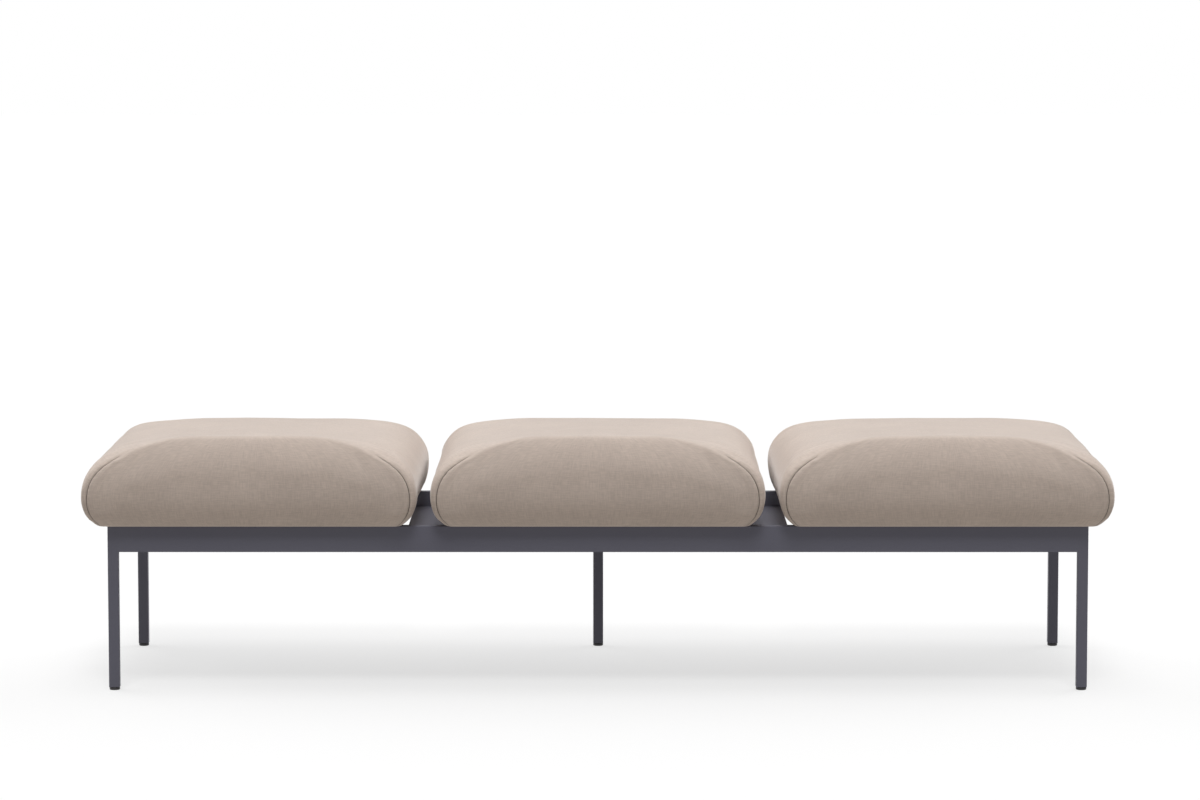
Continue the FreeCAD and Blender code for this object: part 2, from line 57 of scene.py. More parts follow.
class Wire:
    # one output socket of a material's nodes, with the sums that the finishes need

    def __init__(self, tree, socket=None):
        self.tree = tree
        self.socket = socket

    def add(self, kind, settings=None, sockets=None, output=0):
        # any node: its settings first, then the values or links of its sockets
        node = self.tree.nodes.new(kind)
        for name, value in (settings or {}).items():
            setattr(node, name, value)
        for name, value in (sockets or {}).items():
            if isinstance(value, Wire):
                self.tree.links.new(value.socket, node.inputs[name])
            else:
                node.inputs[name].default_value = value
        return Wire(self.tree, node.outputs[output] if node.outputs else None)

    def other(self, output):
        # another output of the same node
        return Wire(self.tree, self.socket.node.outputs[output])

    def sum(self, operation, first, second=0.0):
        return self.add("ShaderNodeMath", {"operation": operation}, {0: first, 1: second})

    def __add__(self, other):
        return self.sum("ADD", self, other)

    def __mul__(self, other):
        return self.sum("MULTIPLY", self, other)

    def between(self, low, high):
        # 0 below low, 1 above high, smooth between them
        return self.add(
            "ShaderNodeMapRange",
            {"interpolation_type": "SMOOTHSTEP"},
            {"Value": self, "From Min": low, "From Max": high},
        )

    def mix(self, first, second):
        # two colours mixed by this value
        return self.add(
            "ShaderNodeMix", {"data_type": "RGBA", "clamp_factor": True}, {0: self, 6: first, 7: second}, 2
        )

    def tinted(self, other):
        # this colour multiplied by another
        return self.add(
            "ShaderNodeMix", {"data_type": "RGBA", "blend_type": "MULTIPLY"}, {0: 1.0, 6: self, 7: other}, 2
        )


def newFinish(name, shader):
    # a material with its shader's plain values set, a wire to start from, and the shader
    finish = bpy.data.materials.new(name)
    finish.use_nodes = True
    surface = finish.node_tree.nodes["Principled BSDF"]
    for socket, value in shader.items():
        surface.inputs[socket].default_value = value
    return finish, Wire(finish.node_tree), surface


def plug(wire, surface, socket):
    wire.tree.links.new(wire.socket, surface.inputs[socket])


def colour(values, level=1.0):
    return tuple(value * level for value in values) + (1.0,)


def noiseAt(wire, place, scale, detail=2.0, roughness=0.5):
    sockets = {"Vector": place, "Scale": scale, "Detail": detail, "Roughness": roughness}
    return wire.add("ShaderNodeTexNoise", {"noise_dimensions": "3D"}, sockets)


def bumped(wire, height, strength, distance):
    return wire.add("ShaderNodeBump", {}, {"Height": height, "Strength": strength, "Distance": distance})


def objectPlace(wire):
    return wire.add("ShaderNodeTexCoord", {}, {}, 3)


def stretched(wire, place, scale):
    return wire.add("ShaderNodeMapping", {}, {"Vector": place, "Scale": scale})


def meshFrom(shape, name):
    # a mesh of the finished shape, which is then let go
    mesh = bpy.data.meshes.new(name)
    shape.to_mesh(mesh)
    shape.free()
    return mesh


def smoothFaces(mesh):
    for face in mesh.polygons:
        face.use_smooth = True


def addObject(name, data):
    made = bpy.data.objects.new(name, data)
    scene.collection.objects.link(made)
    return made


# Finishes

clothLook = {
    "colour": (0.594, 0.498, 0.434),
    "yarnDark": 0.9,
    "yarnLight": 1.1,
    "yarnWidth": 0.0016,
    "yarnLength": 0.018,
    "slubWidth": 0.005,
    "slubLength": 0.035,
    "slubShade": 0.05,
    "contrast": (0.3, 0.7),
    "cloudScale": 9.0,
    "cloudContrast": (0.25, 0.75),
    "cloudShade": 0.06,
    "shadeLow": (0.945, 0.945, 0.95),
    "shadeHigh": (1.95, 1.95, 1.92),
    "weavePitch": 0.0016,
    "slubHeight": 0.6,
    "weaveHeight": 0.12,
    "bump": (0.35, 0.0006),
    # painted shade: how dark the cloth is painted in the seam valleys, where the crease would shade itself
    "paintedSeamShade": 0.08,
    "roughness": 0.93,
    "specular": 0.2,
    "sheen": 0.5,
    "sheenRoughness": 0.4,
    "sheenTint": (1.0, 0.965, 0.935),
}


def threadNoise(start, place, width, length):
    # streaks along and across the cloth, as long and wide as its threads
    warp = noiseAt(start, stretched(start, place, (1 / width, 1 / length, 1.0)), 1.0, detail=1.5)
    weft = noiseAt(start, stretched(start, place, (1 / length, 1 / width, 1.0)), 1.0, detail=1.5)
    return (warp + weft) * 0.5


def makeCloth(look):
    finish, start, surface = newFinish(
        "greigeCloth",
        {
            "Roughness": look["roughness"],
            "Specular IOR Level": look["specular"],
            "Sheen Weight": look["sheen"],
            "Sheen Roughness": look["sheenRoughness"],
            "Sheen Tint": colour(look["sheenTint"]),
        },
    )
    place = start.add("ShaderNodeUVMap", {"uv_map": "cloth"})
    threads = threadNoise(start, place, look["yarnWidth"], look["yarnLength"])
    slubs = threadNoise(start, place, look["slubWidth"], look["slubLength"])
    cloud = noiseAt(start, place, look["cloudScale"], detail=3.0)
    pitch = math.tau / look["weavePitch"]
    split = start.add("ShaderNodeSeparateXYZ", {}, {"Vector": place})
    weave = start.sum("SINE", split * pitch) * start.sum("SINE", split.other("Y") * pitch)
    tone = threads.between(*look["contrast"])
    yarn = tone.mix(colour(look["colour"], look["yarnDark"]), colour(look["colour"], look["yarnLight"]))
    shade = slubs.between(*look["contrast"]) * look["slubShade"]
    shade = shade + cloud.between(*look["cloudContrast"]) * look["cloudShade"]
    cloth = yarn.tinted(shade.mix(colour(look["shadeLow"]), colour(look["shadeHigh"])))
    # painted shade: the cloth is darkened along each seam valley by the value that sewCorners stores on its
    # points
    seam = start.add("ShaderNodeAttribute", {"attribute_name": "paintedSeamShade"}, {}, 2)
    shadowed = seam.mix(colour((1.0, 1.0, 1.0)), colour((look["paintedSeamShade"],) * 3))
    plug(cloth.tinted(shadowed), surface, "Base Color")
    height = threads + slubs * look["slubHeight"] + weave * look["weaveHeight"]
    plug(bumped(start, height, *look["bump"]), surface, "Normal")
    return finish


coatLook = {
    "colour": (0.09, 0.089, 0.119),
    "fleck": 1.22,
    "grain": 900.0,
    "grainContrast": (0.35, 0.75),
    "grainShare": 0.6,
    "cloud": 6.0,
    "cloudContrast": (0.3, 0.7),
    "roughness": (0.62, 0.76),
    "specular": 0.75,
    "peel": 0.6,
    "bump": (0.18, 0.0003),
}


def makeCoat(look):
    finish, start, surface = newFinish("powderCoat", {"Specular IOR Level": look["specular"]})
    place = objectPlace(start)
    grain = noiseAt(start, place, look["grain"])
    cloud = noiseAt(start, place, look["cloud"], detail=3.0)
    shade = grain.between(*look["grainContrast"]) * look["grainShare"]
    shade = shade + cloud.between(*look["cloudContrast"]) * (1 - look["grainShare"])
    plug(shade.mix(colour(look["colour"]), colour(look["colour"], look["fleck"])), surface, "Base Color")
    low, high = look["roughness"]
    plug(cloud * (high - low) + low, surface, "Roughness")
    peel = noiseAt(start, place, look["grain"] * look["peel"], detail=1.0)
    plug(bumped(start, peel, *look["bump"]), surface, "Normal")
    return finish


nylonLook = {
    "colour": (0.02, 0.019, 0.02),
    "fleck": 1.6,
    "grain": 700.0,
    "roughness": (0.42, 0.57),
    "specular": 0.45,
    "bump": (0.15, 0.0002),
}


def makeNylon(look):
    finish, start, surface = newFinish("mouldedNylon", {"Specular IOR Level": look["specular"]})
    grain = noiseAt(start, objectPlace(start), look["grain"])
    plug(grain.mix(colour(look["colour"]), colour(look["colour"], look["fleck"])), surface, "Base Color")
    low, high = look["roughness"]
    plug(grain * (high - low) + low, surface, "Roughness")
    plug(bumped(start, grain, *look["bump"]), surface, "Normal")
    return finish


zincLook = {"colour": (0.56, 0.56, 0.53), "shades": (0.8, 1.15), "spangle": 160.0, "roughness": (0.25, 0.5)}


def makeZinc(look):
    finish, start, surface = newFinish("zincSteel", {"Metallic": 1.0})
    spangle = noiseAt(start, objectPlace(start), look["spangle"], detail=3.0)
    plug(spangle.mix(*[colour(look["colour"], shade) for shade in look["shades"]]), surface, "Base Color")
    low, high = look["roughness"]
    plug(spangle * (high - low) + low, surface, "Roughness")
    return finish


plyLook = {
    "pale": (0.66, 0.5, 0.32),
    "dark": (0.42, 0.28, 0.15),
    "grain": (4.0, 90.0, 90.0),
    "grainContrast": (0.35, 0.7),
    "grainShare": 0.7,
    "plyHeight": 0.0015,
    "roughness": 0.7,
}


def makePly(look):
    finish, start, surface = newFinish("birchPly", {"Roughness": look["roughness"]})
    place = objectPlace(start)
    grain = noiseAt(start, stretched(start, place, look["grain"]), 1.0, detail=4.0)
    # at a scale of 1 a wave texture has 20 / pi bands to a unit, light and dark ones counted together
    scale = math.pi / look["plyHeight"] / 20
    layer = start.add("ShaderNodeTexWave", {"bands_direction": "Z"}, {"Vector": place, "Scale": scale})
    tone = grain.between(*look["grainContrast"]) * look["grainShare"] + layer * (1 - look["grainShare"])
    plug(tone.mix(colour(look["pale"]), colour(look["dark"])), surface, "Base Color")
    return finish


dustLook = {
    "colour": (0.02, 0.02, 0.021),
    "shades": (0.7, 2.0),
    "fibre": 420.0,
    "contrast": (0.35, 0.7),
    "roughness": 0.9,
    "specular": 0.25,
    "bump": (0.3, 0.0004),
}


def makeDustCloth(look):
    values = {"Roughness": look["roughness"], "Specular IOR Level": look["specular"]}
    finish, start, surface = newFinish("dustCloth", values)
    fibre = noiseAt(start, objectPlace(start), look["fibre"], detail=4.0, roughness=0.7)
    dark, light = [colour(look["colour"], shade) for shade in look["shades"]]
    plug(fibre.between(*look["contrast"]).mix(dark, light), surface, "Base Color")
    plug(bumped(start, fibre, *look["bump"]), surface, "Normal")
    return finish


finishes = {
    "greige_cloth": makeCloth(clothLook),
    "powder_coat": makeCoat(coatLook),
    "nylon": makeNylon(nylonLook),
    "zinc_steel": makeZinc(zincLook),
    "plywood": makePly(plyLook),
    "dust_cloth": makeDustCloth(dustLook),
}
for part in frame["record"]["subparts"]:
    node = nodes[part["node"]]
    if part["material_slot"] in finishes:
        node.data.materials.clear()
        node.data.materials.append(finishes[part["material_slot"]])
print("finishes set:", len(finishes))


# Cushions

cushion = {
    "roll": 0.078,
    "sideReach": 0.104,
    "widest": 0.063,
    "rearFullness": 0.45,
    "crown": 0.013,
    "frontWidest": 0.052,
    "frontDrawn": 0.024,
    "frontLean": 0.046,
    "frontReach": 0.072,
    "frontEdge": 3.7,
    "frontArch": 0.021,
    "rearArch": 0.0015,
    "archHalf": 0.262,
    "archSharpness": 3.3,
    "archFade": 4,
    "tilt": 0.009,
    "cornerLow": 0.012,
    "cornerWide": 0.024,
    "cornerHigh": 0.1,
    "cornerSharpness": 6,
    "seamAngle": 25.0,
    "panelBlend": 0.75,
    "bandBlend": 0.85,
    "flatCuts": 63,
    "sideCuts": 31,
    "sideShrunk": 0.0035,
    "topShrunk": 0.0035,
    "swell": 0.002,
    "frames": 12,
    "pinnedHeight": 0.012,
    "seamTop": 0.135,
    "seamFade": 0.008,
    "seamWidth": 0.0012,
    "seamDepth": 0.003,
    "ridge": 0.002,
    "ridgeReach": 0.009,
    "ridgeWidth": 0.75,
    "ridgeAbove": 0.012,
    "ridgeFrom": 0.02,
    "pucker": 0.0004,
    "puckerPitch": 0.011,
    "puckerReach": 0.006,
    "puckerPhase": 1.7,
    "fold": 0.0007,
    "foldPitch": 0.021,
    "foldFrom": 0.235,
    "foldReach": 0.05,
    "foldBack": 0.045,
    "foldDepth": 0.032,
    "foldSlant": 0.3,
    "foldWander": 2.5,
    "foldPhase": 1.1,
    "uneven": 0.0014,
    "unevenFrom": 0.03,
    "wideScale": 6.0,
    "fineScale": 17.0,
    "fineShare": 0.35,
    "fill": 0.9,
    "cloth": {
        "quality": 4,
        "mass": 0.4,
        "tension_stiffness": 18,
        "compression_stiffness": 18,
        "shear_stiffness": 6,
        "bending_stiffness": 1.5,
        "air_damping": 3,
        "use_pressure": True,
        "uniform_pressure_force": 4.0,
        "shrink_min": -0.012,
        "vertex_group_mass": "held",
    },
}
edgeSteps = 600
onEdge = 0.9999


def evenly(inward, height):
    # the same edge with its points equally far apart
    run = np.concatenate([[0], np.cumsum(np.hypot(np.diff(inward), np.diff(height)))])
    places = np.linspace(0, run[-1], edgeSteps)
    return np.interp(places, run, inward), np.interp(places, run, height)


def sideEdge(shoulder, size):
    # rolled edge of the left and right sides: a circle below the widest line, an ellipse above it
    angle = np.linspace(-math.asin(size["widest"] / size["roll"]), math.pi / 2, edgeSteps)
    across = np.where(angle < 0, size["roll"], size["sideReach"])
    upwards = np.where(angle < 0, size["roll"], shoulder - size["widest"])
    return evenly(across * (1 - np.cos(angle)), size["widest"] + upwards * np.sin(angle))


def frontEdge(shoulder, size):
    # front and rear panels: drawn in below, leaning back above, with a tight roll into the top
    lower = np.linspace(0, 1, edgeSteps)
    turn = np.linspace(0, math.pi / 2, edgeSteps)
    upper = np.sin(turn) ** (2 / size["frontEdge"])
    roll = 1 - np.cos(turn) ** (2 / size["frontEdge"])
    inward = size["frontLean"] * upper**2 + (size["frontReach"] - size["frontLean"]) * roll
    height = size["frontWidest"] + (shoulder - size["frontWidest"]) * upper
    inward = np.concatenate([size["frontDrawn"] * (1 - lower) ** 2, inward[1:]])
    return evenly(inward, np.concatenate([size["frontWidest"] * lower, height[1:]]))


def easeIn(value):
    value = np.clip(value, 0, 1)
    return value * value * (3 - 2 * value)


def alongPlan(share, straight, radius, turn):
    # how far along and how far short of its face a point lies, after this share of the face and its corner
    path = share * (straight + radius * turn)
    angle = np.clip(path - straight, 0, None) / radius
    return np.where(path < straight, path, straight + radius * np.sin(angle)), radius * (1 - np.cos(angle))


def cushionForm(cube, half, rise, size):
    # carries the points of a cube from -1 to 1 onto the crowned form; half is its half width and half depth
    u, v, w = cube.T
    share = np.maximum(np.abs(u), np.abs(v))
    side = share > onEdge
    top = ~side & (w > 0)
    unit = np.stack([u, v]) / np.maximum(share, 1e-9)
    along = np.abs(unit)
    facing = along[1] > onEdge
    panel = 1 - easeIn((along[0] - size["panelBlend"]) / (1 - size["panelBlend"])) / 2
    band = easeIn((along[1] - size["bandBlend"]) / (1 - size["bandBlend"])) / 2
    front = np.where(facing, panel, band)
    shoulder = rise - size["crown"]
    climb = np.where(side, (w + 1) / 2, np.where(top, 1, 0)) * (edgeSteps - 1)
    places = np.arange(edgeSteps)
    sideIn, sideUp = [np.interp(climb, places, part) for part in sideEdge(shoulder, size)]
    frontIn, frontUp = [np.interp(climb, places, part) for part in frontEdge(shoulder, size)]
    height = (1 - front) * sideUp + front * frontUp
    upper = np.clip((height - size["widest"]) / (shoulder - size["widest"]), 0, 1)
    lower = np.clip(1 - height / size["widest"], 0, 1)
    corner = size["cornerWide"] + (size["cornerLow"] - size["cornerWide"]) * lower
    corner = corner + (size["cornerHigh"] - size["cornerWide"]) * upper ** size["cornerSharpness"]
    # below the widest line the sides are fuller towards the rear
    fuller = np.where(sideUp < size["widest"], 1 - size["rearFullness"] * (1 + v) / 2, 1)
    reach = [half[0] - sideIn * fuller, half[1] - frontIn]
    turn = math.radians(size["seamAngle"])
    frontX, frontY = alongPlan(along[0], reach[0] - corner, corner, turn)
    bandY, bandX = alongPlan(along[1], reach[1] - corner, corner, math.pi / 2 - turn)
    x = np.where(facing, frontX, reach[0] - bandX) * np.sign(unit[0])
    y = np.where(facing, reach[1] - frontY, bandY) * np.sign(unit[1])
    # the panels' upper edges arch, the front one more than the rear one, and the top leans back between them
    arch = np.clip(1 - (np.abs(x) / size["archHalf"]) ** size["archSharpness"], 0, 1)
    arch = arch * np.where(y < 0, size["frontArch"], size["rearArch"])
    arch = arch * np.clip(np.abs(y) / reach[1], 0, 1) ** size["archFade"]
    height = height + arch * np.clip(height / shoulder, 0, 1) ** 2
    lean = -size["tilt"] * y / (half[1] - size["frontReach"])
    height = np.where(top, rise + lean * share - (rise + lean - height) * share**2, height)
    level = np.where(side, 1, share)
    return np.stack([x * level, y * level, height], 1)


def meshPoints(mesh):
    points = np.empty(len(mesh.vertices) * 3)
    mesh.vertices.foreach_get("co", points)
    return points.reshape(-1, 3)


def setPoints(mesh, points):
    mesh.vertices.foreach_set("co", points.ravel())
    mesh.update()


def meshNormals(mesh):
    normals = np.empty(len(mesh.vertices) * 3)
    mesh.vertices.foreach_get("normal", normals)
    return normals.reshape(-1, 3)


def layCloth(mesh, cube, half, size):
    # unrolls top, front and rear as one length of cloth and each side as its own panel
    layer = mesh.uv_layers.new(name="cloth")
    low = -math.asin(size["widest"] / size["roll"])
    down = size["roll"] * (math.pi / 2 - low)
    values = np.empty((len(mesh.loops), 2))
    for face in mesh.polygons:
        middle = cube[list(face.vertices)].mean(axis=0)
        major = int(np.argmax(np.abs(middle)))
        for loop in face.loop_indices:
            u, v, w = cube[mesh.loops[loop].vertex_index]
            drop = down * (1 - w) / 2
            flat = (u * (half[0] - size["roll"]), v * (half[1] - size["roll"]))
            if major == 2:
                values[loop] = flat
            elif major == 1:
                values[loop] = (u * half[0], math.copysign(half[1] - size["roll"] + drop, middle[1]))
            else:
                values[loop] = (math.copysign(half[0] - size["roll"] + drop, middle[0]), v * half[1])
    layer.data.foreach_set("uv", values.ravel())


def inflate(piece, pins, size):
    # lets the cover swell on its foam for a few frames, held at its seams and along the board
    start = meshPoints(piece.data)
    group = piece.vertex_groups.new(name="held")
    group.add([int(index) for index in np.flatnonzero(pins)], 1.0, "REPLACE")
    cloth = piece.modifiers.new("cover", "CLOTH")
    for setting, value in size["cloth"].items():
        setattr(cloth.settings, setting, value)
    cloth.settings.effector_weights.gravity = 0
    cloth.point_cache.frame_start = 1
    cloth.point_cache.frame_end = size["frames"]
    for step in range(1, size["frames"] + 1):
        scene.frame_set(step)
    ready = piece.evaluated_get(bpy.context.evaluated_depsgraph_get())
    moved = meshPoints(ready.data) - start
    piece.modifiers.remove(cloth)
    piece.vertex_groups.remove(group)
    scene.frame_set(1)
    far = np.linalg.norm(moved, axis=1, keepdims=True)
    kept = size["swell"] * np.tanh(far / size["swell"]) / np.maximum(far, 1e-9)
    setPoints(piece.data, start + moved * kept)
    return float(far.max())


def sewCorners(mesh, size, low):
    # turns each marked corner edge into a narrow valley that closes towards its upper end, and stores on the
    # valley's points how much painted shade the cloth gets there
    shape = bmesh.new()
    shape.from_mesh(mesh)
    shade = shape.verts.layers.float.new("paintedSeamShade")
    seamEdges = [edge for edge in shape.edges if edge.seam]
    made = bmesh.ops.bevel(
        shape,
        geom=seamEdges,
        offset=size["seamWidth"],
        offset_type="OFFSET",
        affect="EDGES",
        segments=2,
        profile=0.5,
        material=-1,
    )
    shape.normal_update()
    strip = set(made["faces"])
    valley = [vert for vert in made["verts"] if all(face in strip for face in vert.link_faces)]
    for vert in valley:
        height = vert.co.z - low
        depth = min(1.0, max(0.0, (size["seamTop"] - height) / size["seamFade"]))
        # painted shade for the valley, full below and fading towards its upper end
        vert[shade] = depth
        vert.co -= vert.normal * size["seamDepth"] * depth
    shape.to_mesh(mesh)
    shape.free()
    return len(valley)


def seamDistance(cube, half):
    # how far a point of the walls lies from its seam: positive on the sides, negative on front and rear
    u, v = np.abs(cube[:, 0]), np.abs(cube[:, 1])
    distance = np.where(v > onEdge, -(1 - u) * half[0], (1 - v) * half[1])
    return np.where(np.maximum(u, v) > onEdge, distance, 1.0)


def bell(distance, width):
    return np.exp(-np.square(distance / width))


def dressForm(mesh, foot, half, size, seed):
    # the soft ridge beside each seam, puckers along it, folds on the top near the corners, uneven stuffing
    draw = random.Random(seed)
    points = meshPoints(mesh)
    normals = meshNormals(mesh)
    offset = np.empty(len(points))
    mesh.attributes["seamDistance"].data.foreach_get("value", offset)
    mesh.attributes.remove(mesh.attributes["seamDistance"])
    across, deep, height = (points - foot).T
    fade = np.clip((size["seamTop"] + size["ridgeAbove"] - height) / (2 * size["seamFade"]), 0, 1)
    fade = fade * np.clip(height / size["ridgeFrom"], 0, 1)
    ridge = size["ridge"] * fade * bell(offset - size["ridgeReach"], size["ridgeWidth"] * size["ridgeReach"])
    turns = height * math.tau / size["puckerPitch"] + draw.uniform(0, 6)
    pucker = size["pucker"] * fade * np.sin(turns + np.sign(across) * size["puckerPhase"])
    pucker = pucker * bell(np.abs(offset) - size["puckerReach"], size["puckerReach"])
    shift = Vector((draw.uniform(-9, 9), draw.uniform(-9, 9), draw.uniform(-9, 9)))
    wide = np.array([noise.noise(Vector(point) * size["wideScale"] + shift) for point in points])
    fine = np.array([noise.noise(Vector(point) * size["fineScale"] - shift) for point in points])
    uneven = size["uneven"] * (wide + size["fineShare"] * fine) * np.clip(height / size["unevenFrom"], 0, 1)
    behind = half[1] - np.abs(deep) + size["foldSlant"] * (np.abs(across) - size["foldFrom"])
    near = bell(np.abs(across) - size["foldFrom"], size["foldReach"])
    near = near * bell(behind - size["frontReach"] - size["foldBack"], size["foldDepth"])
    turns = behind * math.tau / size["foldPitch"] + size["foldWander"] * wide
    turns = turns + np.sign(across) * size["foldPhase"]
    fold = size["fold"] * np.sin(turns) * near * np.clip(normals[:, 2] * 2, 0, 1)
    setPoints(mesh, points + normals * (ridge + pucker + uneven + fold)[:, None])


def cutCube(size):
    # a cube from -1 to 1, cut into a fine grid, with its upright edges marked as seams
    shape = bmesh.new()
    bmesh.ops.create_cube(shape, size=2)
    upright = [edge for edge in shape.edges if abs(edge.verts[0].co.z - edge.verts[1].co.z) > 1]
    for edge in upright:
        edge.seam = True
    bmesh.ops.subdivide_edges(shape, edges=upright, cuts=size["sideCuts"], use_grid_fill=True)
    level = [edge for edge in shape.edges if abs(edge.verts[0].co.z - edge.verts[1].co.z) < 1e-6]
    bmesh.ops.subdivide_edges(shape, edges=level, cuts=size["flatCuts"], use_grid_fill=True)
    return shape


def makeCushion(name, seed, size):
    low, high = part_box(f"seat_cover_{name}")
    centre = (low + high) / 2
    foot = np.array([centre.x, centre.y, low.z])
    half = ((high.x - low.x) / 2 - size["sideShrunk"], (high.y - low.y) / 2 - size["sideShrunk"])
    rise = high.z - low.z - size["topShrunk"]
    mesh = meshFrom(cutCube(size), f"cushion_{name}")
    cube = meshPoints(mesh)
    layCloth(mesh, cube, half, size)
    mesh.attributes.new("seamDistance", "FLOAT", "POINT").data.foreach_set("value", seamDistance(cube, half))
    points = cushionForm(cube, half, rise, size) + foot
    setPoints(mesh, points)
    piece = addObject(f"cushion_{name}", mesh)
    seamLine = np.abs(cube[:, :2]).min(axis=1) > onEdge
    height = points[:, 2] - low.z
    pins = (height < size["pinnedHeight"]) | (seamLine & (height < size["seamTop"]))
    for edge in mesh.edges:
        ends = [mesh.vertices[index].co.z - low.z for index in edge.vertices]
        edge.use_seam = edge.use_seam and max(ends) < size["seamTop"] + size["seamFade"] / 2
    grown = 0.0
    grown = inflate(piece, pins, size)
    smooth = piece.modifiers.new("smooth", "SUBSURF")
    smooth.levels = smooth.render_levels = 1
    ready = piece.evaluated_get(bpy.context.evaluated_depsgraph_get())
    piece.data = bpy.data.meshes.new_from_object(ready)
    piece.data.name = f"cushion_{name}"
    piece.modifiers.remove(smooth)
    bpy.data.meshes.remove(mesh)
    dressForm(piece.data, foot, half, size, seed)
    valley = sewCorners(piece.data, size, low.z)
    smoothFaces(piece.data)
    piece.data.materials.clear()
    piece.data.materials.append(finishes["greige_cloth"])
    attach(piece, "bench")
    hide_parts(f"seat_cover_{name}", f"seat_foam_{name}")
    print(f"cushion {name}: {len(piece.data.polygons)} faces, {valley} points sewn, swelled {grown:.4f}")


for seed, name in enumerate(seatNames, 1):
    makeCushion(name, seed, cushion)


# Dust covers

dustCover = {
    "cuts": 40,
    "turnedEdge": 0.008,
    "edgeThickness": 0.0005,
    "belly": 0.0035,
    "bellyEdge": 4,
    "wrinkle": 0.0009,
    "wrinkleScale": 3.0,
    "inside": 0.0006,
}


def makeDustCover(name, seed, size):
    # a thin black cloth stapled over the opening of the hem, slack enough to belly a little
    low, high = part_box(f"dust_cover_{name}")
    centre = (low + high) / 2
    half = Vector((high.x - low.x, high.y - low.y)) / 2
    draw = random.Random(seed)
    shift = Vector((draw.uniform(-9, 9), draw.uniform(-9, 9), 0))
    shape = bmesh.new()
    bmesh.ops.create_grid(shape, x_segments=size["cuts"], y_segments=size["cuts"], size=1)
    for vert in shape.verts:
        x, y = vert.co.x, vert.co.y
        free = (1 - x ** size["bellyEdge"]) * (1 - y ** size["bellyEdge"])
        creases = noise.noise(Vector((x, y, 0)) * size["wrinkleScale"] + shift) * free * size["wrinkle"]
        drop = size["belly"] * free + size["inside"] - creases
        if max(abs(x), abs(y)) > 1 - size["turnedEdge"] / half.x:
            drop += size["edgeThickness"]
        vert.co = (centre.x + x * half.x, centre.y + y * half.y, high.z - drop)
    bmesh.ops.recalc_face_normals(shape, faces=shape.faces)
    mesh = meshFrom(shape, f"dustSheet_{name}")
    smoothFaces(mesh)
    piece = addObject(f"dustSheet_{name}", mesh)
    mesh.materials.append(finishes["dust_cloth"])
    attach(piece, "bench")
    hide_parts(f"dust_cover_{name}")


for seed, name in enumerate(seatNames, 11):
    makeDustCover(name, seed, dustCover)
print("dust covers made:", len(seatNames))


# Staples round the dust covers

staple = {
    "crown": 0.011,
    "wire": 0.0009,
    "bend": 0.6,
    "leg": 0.003,
    "pitch": 0.036,
    "inset": 0.0045,
    "seatedDepth": 0.0011,
}


def makeStaples(name, size):
    # bent wire staples side by side along the four edges of one dust cover
    low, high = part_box(f"dust_cover_{name}")
    centre = (low + high) / 2
    half = (high - low) / 2
    level = high.z - size["seatedDepth"] - size["wire"] / 2
    shape = bmesh.new()
    for turn in range(4):
        out, along = (half.y, half.x) if turn % 2 == 0 else (half.x, half.y)
        count = int(2 * along / size["pitch"])
        for index in range(count):
            shift = (index - (count - 1) / 2) * 2 * along / count
            place = Matrix.Translation((centre.x, centre.y, level))
            place = place @ Matrix.Rotation(turn * math.pi / 2, 4, "Z")
            addStaple(shape, place @ Matrix.Translation((shift, size["inset"] - out, 0)), size)
    mesh = meshFrom(shape, f"staples_{name}")
    piece = addObject(f"staples_{name}", mesh)
    mesh.materials.append(finishes["zinc_steel"])
    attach(piece, "bench")
    return len(mesh.polygons)


def addStaple(shape, place, size):
    # a bar with its two ends drawn up as legs and its bends rounded
    wire = size["wire"]
    tip = size["crown"] / 2
    bar = bmesh.new()
    bmesh.ops.create_cube(bar, size=1, matrix=Matrix.Diagonal((size["crown"], wire, wire, 1)))
    for cut in (wire - tip, tip - wire):
        geometry = bar.verts[:] + bar.edges[:] + bar.faces[:]
        bmesh.ops.bisect_plane(bar, geom=geometry, plane_co=(cut, 0, 0), plane_no=(1, 0, 0))
    bar.normal_update()
    upper = [face for face in bar.faces if face.normal.z > 0.9]
    ends = [face for face in upper if abs(face.calc_center_median().x) > tip - wire]
    drawn = bmesh.ops.extrude_discrete_faces(bar, faces=ends)["faces"]
    bmesh.ops.translate(bar, verts=[vert for face in drawn for vert in face.verts], vec=(0, 0, size["leg"]))
    outside = {vert for vert in bar.verts if vert.co.z < 0 and abs(vert.co.x) > tip - wire / 2}
    bends = [edge for edge in bar.edges if outside.issuperset(edge.verts)]
    bmesh.ops.bevel(
        bar, geom=bends, offset=wire * size["bend"], segments=2, profile=0.5, affect="EDGES", material=-1
    )
    bmesh.ops.transform(bar, matrix=place, verts=bar.verts)
    single = meshFrom(bar, "staple")
    shape.from_mesh(single)
    bpy.data.meshes.remove(single)


staples = [makeStaples(name, staple) for name in seatNames]
print("staples made:", staples, "faces")


# Threaded stems of the feet

stem = {
    "diameter": 0.008,
    "pitch": 0.00125,
    "depth": 0.00065,
    "crest": 0.25,
    "steps": 20,
    "clear": 0.00003,
    "headHeight": 0.0024,
    "smoothAngle": 35.0,
}


